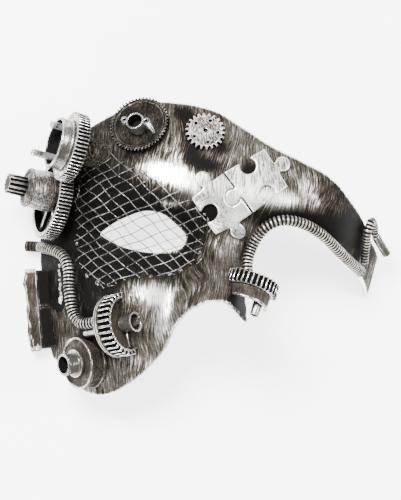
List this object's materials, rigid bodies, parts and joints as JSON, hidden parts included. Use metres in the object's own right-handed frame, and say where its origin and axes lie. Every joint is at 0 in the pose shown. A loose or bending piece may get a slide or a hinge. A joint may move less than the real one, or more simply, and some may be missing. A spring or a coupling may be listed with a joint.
{
  "type": "steampunk eye mask",
  "caption": "Half-face shell mask with an eye opening under a wire net, trimmed with gears, tubes, hoses and jigsaw plates in aged silver.",
  "frame": {"origin": "centre of the footprint at the floor, with the mask lying face up on its rear rim", "axes": "+X to the wearer's left, along the arm over the other brow; +Y towards the forehead; +Z forward, out of the face"},
  "size_m": [0.1708, 0.1252, 0.0699],
  "materials": {
    "shell_silver": "plastic shell, black base dry-brushed with aged silver",
    "bright_silver": "plastic trim with bright silver high spots over black",
    "dark_silver": "plastic trim, mostly dark with worn silver edges",
    "wire": "thin silvered wire netting",
    "black": "matt black block with faint silver scuffs"
  },
  "bodies": {
    "root": {"shell": "shell_silver", "eye_net": "wire", "temple_gear": "bright_silver", "temple_cup": "dark_silver", "temple_pin_long": "bright_silver", "temple_pin_short": "bright_silver", "wheel": "bright_silver", "barrel": "bright_silver", "pinion": "bright_silver", "forehead_gear": "dark_silver", "forehead_hub": "dark_silver", "small_gear": "bright_silver", "jigsaw_plate_1": "bright_silver", "jigsaw_plate_2": "bright_silver", "cheek_gear": "bright_silver", "cheek_collar": "dark_silver", "cheek_hub": "dark_silver", "boss_drum": "dark_silver", "boss_nozzle": "bright_silver", "side_block_upper": "black", "side_block_lower": "black", "side_cover": "dark_silver", "nose_gear": "bright_silver", "nose_cup": "dark_silver", "nose_pin": "bright_silver", "cheek_hose": "bright_silver", "brow_hose": "bright_silver", "brow_hose_return": "bright_silver", "brow_sleeve": "dark_silver"}
  },
  "joints": []
}
